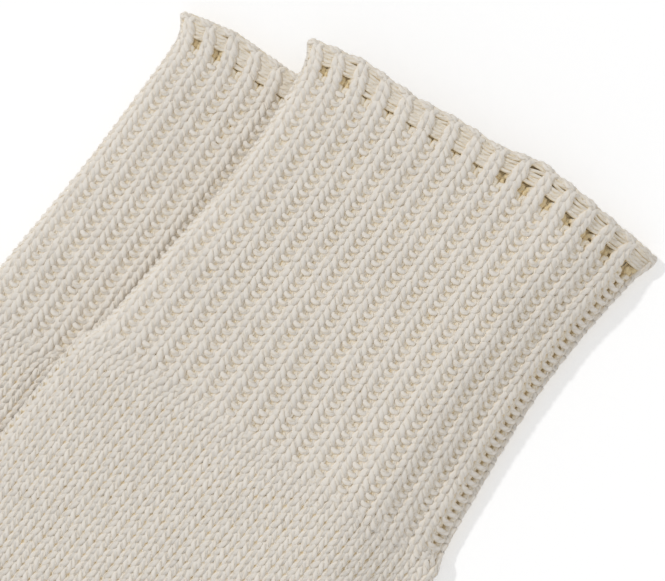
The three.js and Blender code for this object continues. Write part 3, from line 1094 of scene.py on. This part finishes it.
def laid_socks(scene):
    """Both socks in their places, in millimetres. The middle of the footprint is the origin."""
    if LAID:
        return LAID
    sizes, knit = values(scene.sock_sizes), values(scene.knit_sizes)
    low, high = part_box("lower_cuff")
    trial = LaidSock(sizes, knit, np.zeros(2), **LAY["lower"])
    edge = along_spline(trial.instep, np.arange(0, trial.stops["rib end"] + 0.1, 0.5))
    middle = np.array([low[0] / MM - edge[:, 0].min(), high[1] / MM - plain_top(trial)])
    LAID["lower"] = LaidSock(sizes, knit, middle, **LAY["lower"])
    LAID["upper"] = LaidSock(sizes, knit, middle, lower=LAID["lower"], **LAY["upper"])
    return LAID


def plain_top(sock):
    """Highest Y of the cast-on edge with its bow and no waver."""
    instep, heel = sock.instep[0], sock.heel[0]
    along = (heel - instep) / np.hypot(*(heel - instep))
    part = np.linspace(0, 1, 400)
    y = instep[1] + (heel - instep)[1] * part + along[0] * sock.facts["bow"][0] * np.sin(math.pi * part)
    return y.max()


def shell_skins(sock):
    """Outer and inner rings of the closed wall behind a sock's stitches, with the column of each point and
    the row of each ring. Underneath, the outer skin carries the ridges of the columns."""
    place = np.unique(np.concatenate([np.linspace(0, sock.last, SHELL_RINGS), [0.02, sock.last - 0.1]]))
    top = np.linspace(0, 1, SHELL_POINTS)
    under = np.linspace(1, 2, 3 * UNDER_COLUMNS + 1)[1:-1]
    over, count = len(top), len(top) + len(under)
    last = ROUND_COLUMNS + INSTEP_COLUMN
    column = np.concatenate([
        INSTEP_COLUMN + (HEEL_COLUMN - INSTEP_COLUMN) * top,
        HEEL_COLUMN + (last - HEEL_COLUMN) * (under - 1),
    ])
    outer, inner = [], []
    for p in place:
        ribbed, in_band = float(sock.ribbed(p)), float(1 - smooth(sock.row(p), 2.5, 5))
        ridge = ribbed * (0.3 - 0.3 * np.cos(math.pi * (column - 0.6)))
        ridge = ridge + (1 - ribbed) * (0.12 + 0.12 * np.cos(2 * math.pi * column))
        outer_skin = OUTER_SKIN + RIB_SKIN * ribbed + BAND_SKIN * in_band
        for skin, depth in ((outer, outer_skin), (inner, INNER_SKIN)):
            inset = np.full(count, float(sock.fact("wall", p)) * depth)
            if skin is outer:
                inset[over:] = 0.3 + ridge[over:]
            (above,), (below,) = sock.ring_lengths(np.array([p]), inset[over:].mean())
            share = np.concatenate([top, 1 + (under - 1) * below / above])
            skin.append(sock.cloth(np.full(count, p), share, inset=inset))
    return np.array(outer), np.array(inner), column, sock.row(place)


def skin_object(name, outer, inner, column, row):
    """A closed solid between two skins of rings, open at the first ring and closed at the last, with a map of
    its columns and rows of stitches. Its inside, rim, folds and underside take the second material."""
    rings, count = outer.shape[:2]
    base, end = rings * count, (rings - 1) * count
    a = np.arange(count)
    b = (a + 1) % count
    near, far = column, np.append(column[1:], column[-1] + column[-1] - column[-2])
    below = near >= HEEL_COLUMN
    aside = (near >= HEEL_COLUMN - 2) | (near < INSTEP_COLUMN + 2)
    whole = np.ones(count, bool)
    quads, maps, is_second = [], [], []
    for i in range(rings - 1):
        here, ahead = i * count, (i + 1) * count
        level, next_level = np.full(count, row[i]), np.full(count, row[i + 1])
        quads.append(np.stack([a + here, b + here, b + ahead, a + ahead], 1))
        maps.append(np.stack([near, level, far, level, far, next_level, near, next_level], 1))
        quads.append(np.stack([a + here, a + ahead, b + ahead, b + here], 1) + base)
        maps.append(np.stack([near, level, near, next_level, far, next_level, far, level], 1))
        to_folds = below if row[i] < BACKED_ROWS[0] else below | aside
        is_second += [to_folds if row[i] < BACKED_ROWS[1] else whole, whole]
    quads.append(np.stack([b, a, a + base, b + base], 1))
    rim = np.full(count, row[0])
    maps.append(np.stack([far, rim, near, rim, near, rim - 1, far, rim - 1], 1))
    tip = np.full(count, 2 * base)
    fans = np.concatenate([
        np.stack([end + a, end + b, tip], 1),
        np.stack([end + b + base, end + a + base, tip + 1], 1),
    ])
    tips = [outer[-1].mean(0), inner[-1].mean(0)]
    points = np.concatenate([outer.reshape(-1, 3), inner.reshape(-1, 3), tips])
    places = np.concatenate([np.concatenate(maps).ravel(), np.zeros(fans.size * 2)])
    piece = mesh_object(name, points, [np.concatenate(quads), fans], {"Stitches": places})
    second = np.concatenate([*is_second, whole, whole, whole])
    piece.data.polygons.foreach_set("material_index", second.astype(np.int32))
    return piece


def dress(piece, material):
    """Material and body of a finished piece."""
    piece.data.materials.append(material)
    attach(piece, "root")
    return piece


class SOCKS_OT_backing(Operator):
    """Make the closed cloth walls that lie behind the stitches."""

    bl_idname = "boot_socks.backing"
    bl_label = "Cloth behind the stitches"

    def execute(self, context):
        look = context.scene.wool_look
        material, underside = backing_material(look.inside), underside_material(look)
        for name, sock in laid_socks(context.scene).items():
            piece = skin_object(f"{name}_sock_cloth", *shell_skins(sock))
            dress(piece, material)
            piece.data.materials.append(underside)
            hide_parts(*[f"{name}_{part}" for part in ("cuff", "leg", "heel", "foot", "toe")])
        return {"FINISHED"}


def covered(scene):
    """Tells which points of the lower sock lie well under the upper one."""
    outline = laid_socks(scene)["upper"].outline()
    return lambda points: distance_outside(points[:, :2], outline) < -COVERED


def knit_part(context, part, kind, sides, strands_of):
    """Make one part of both socks from the strands that a function gives for a hand and what to skip. Each
    hand always has the same unevenness."""
    scene = context.scene
    for name in ("upper", "lower"):
        sock = laid_socks(scene)[name]
        hand = Knitting(sock, [sock.knit["seed"], len(name), len(part)])
        strands = strands_of(hand, covered(scene) if name == "lower" else None)
        if strands:
            piece = yarn_object(f"{name}_{part}", strands, sides, hand.rng)
            KNITTED[name].append(dress(piece, wool(scene, kind)))


class SOCKS_OT_cuffs(Operator):
    """Knit the ribbed cuffs, with their cast-on edges."""

    bl_idname = "boot_socks.cuffs"
    bl_label = "Ribbed cuffs"

    def execute(self, context):
        points, under = STITCH_POINTS, (TOP_COLUMNS[1], ROUND_COLUMNS)

        def underneath(hand, skip):
            return hand.rows(0, UNDER_ROWS, under, points["under"], skip)

        def top(hand, skip):
            return hand.part("rib", "leg", points["cuff"], skip)

        knit_part(context, "cuff_rib", "rib", RIB_SIDES, top)
        knit_part(context, "cuff_edge", "rib", RIB_SIDES, lambda hand, skip: hand.edge(points["edge"], skip))
        knit_part(context, "cuff_under", "rib", PLAIN_SIDES, underneath)
        return {"FINISHED"}


class SOCKS_OT_legs(Operator):
    """Knit the plain legs."""

    bl_idname = "boot_socks.legs"
    bl_label = "Plain legs"

    def execute(self, context):
        def leg(hand, skip):
            return hand.part("leg", "heel", STITCH_POINTS["leg"], skip)

        knit_part(context, "leg_knit", "plain", PLAIN_SIDES, leg)
        return {"FINISHED"}


class SOCKS_OT_feet(Operator):
    """Knit the turned heels, the feet and the toes."""

    bl_idname = "boot_socks.feet"
    bl_label = "Heels, feet and toes"

    def execute(self, context):
        points = STITCH_POINTS["foot"]
        ways = {
            "heel_knit": lambda hand, skip: hand.heel(points, skip),
            "foot_knit": lambda hand, skip: hand.part("foot", "toe", points, skip),
            "toe_knit": lambda hand, skip: hand.toe(points, skip),
        }
        for part, way in ways.items():
            knit_part(context, part, "plain", PLAIN_SIDES, way)
        return {"FINISHED"}


class SOCKS_OT_sheets(Operator):
    """Work out the flat size of each sock's cloth: the tube slit open along its heel side. The sizes are not
    kept or shown.
    """

    bl_idname = "boot_socks.sheets"
    bl_label = "Flat sizes"

    def execute(self, context):
        for name, sock in laid_socks(context.scene).items():
            width, length = sock.flat_size()
        return {"FINISHED"}


class SOCKS_OT_stage(Operator):
    """Set the table, the lights and the camera."""

    bl_idname = "boot_socks.stage"
    bl_label = "Table, lights and camera"

    def execute(self, context):
        scene = context.scene
        look = scene.studio_look
        bpy.ops.object.select_all(action="DESELECT")
        bpy.ops.mesh.primitive_plane_add(size=TABLE_SIZE, location=(0, 0, TABLE_LEVEL))
        floor = context.object
        floor.name = "Table"
        white = (1, 1, 1, 1)
        floor.data.materials.append(shade(*new_material("Table top"), {
            "Base Color": (*look.floor, 1),
            "Roughness": 1.0,
            "Emission Color": white,
            "Emission Strength": look.glow,
            "Specular IOR Level": 0.0,
        }))
        scene.world = bpy.data.worlds.new("Room")
        scene.world.use_nodes = True
        background = scene.world.node_tree.nodes["Background"]
        background.inputs["Color"].default_value = white
        background.inputs["Strength"].default_value = look.room
        self.add_key_light(scene, look)
        self.add_camera(scene, look)
        scene.view_settings.view_transform = "Standard"
        return {"FINISHED"}

    def add_key_light(self, scene, look):
        """A soft sun from the upper left of the view."""
        sun = bpy.data.lights.new("Key light", "SUN")
        sun.energy = look.key
        sun.angle = math.radians(KEY_ANGLE)
        key = bpy.data.objects.new("Key light", sun)
        scene.collection.objects.link(key)
        heading, tilt = math.radians(VIEW_TURN) + math.radians(KEY_TURN), math.radians(KEY_TILT)
        level = math.sin(tilt)
        direction = Vector((math.cos(heading) * level, math.sin(heading) * level, math.cos(tilt)))
        key.rotation_euler = direction.to_track_quat("Z", "Y").to_euler()

    def add_camera(self, scene, look):
        """A camera straight above."""
        lens = bpy.data.cameras.new("Camera")
        lens.lens = look.lens
        lens.sensor_width = FILM
        lens.clip_start = 0.01
        camera = bpy.data.objects.new("Camera", lens)
        aim = laid_socks(scene)["upper"].origin + np.array(VIEW_AIM)
        camera.location = (aim[0] * MM, aim[1] * MM, VIEW_LEVEL + look.view_width * look.lens / FILM)
        camera.rotation_euler = (0, 0, math.radians(VIEW_TURN))
        scene.collection.objects.link(camera)
        scene.camera = camera


class SOCKS_PT_panel(Panel):
    """Lists the steps and the sizes."""

    bl_idname = "SOCKS_PT_panel"
    bl_label = "Boot socks"
    bl_space_type = "VIEW_3D"
    bl_region_type = "UI"
    bl_category = "Boot socks"

    def draw(self, context):
        for kind in OPERATORS:
            self.layout.operator(kind.bl_idname)
        for name in GROUPS:
            group = getattr(context.scene, name)
            box = self.layout.box()
            for prop in own_properties(group):
                box.prop(group, prop.identifier)


OPERATORS = (SOCKS_OT_backing, SOCKS_OT_cuffs, SOCKS_OT_legs, SOCKS_OT_feet, SOCKS_OT_sheets, SOCKS_OT_stage)
GROUPS = {"sock_sizes": SockSizes, "knit_sizes": KnitSizes, "wool_look": WoolLook, "studio_look": StudioLook}


def register():
    """Register the groups, the operators and the panel."""
    for group in GROUPS.values():
        bpy.utils.register_class(group)
    for name, group in GROUPS.items():
        setattr(bpy.types.Scene, name, PointerProperty(type=group))
    for kind in (*OPERATORS, SOCKS_PT_panel):
        bpy.utils.register_class(kind)


def unregister():
    """Take away what register adds."""
    for kind in reversed((*OPERATORS, SOCKS_PT_panel)):
        bpy.utils.unregister_class(kind)
    for name, group in GROUPS.items():
        delattr(bpy.types.Scene, name)
        bpy.utils.unregister_class(group)


def main():
    """Build everything."""
    register()
    bpy.ops.boot_socks.backing()
    bpy.ops.boot_socks.cuffs()
    bpy.ops.boot_socks.legs()
    bpy.ops.boot_socks.feet()
    bpy.ops.boot_socks.sheets()
    bpy.ops.boot_socks.stage()


if __name__ == "__main__":
    main()
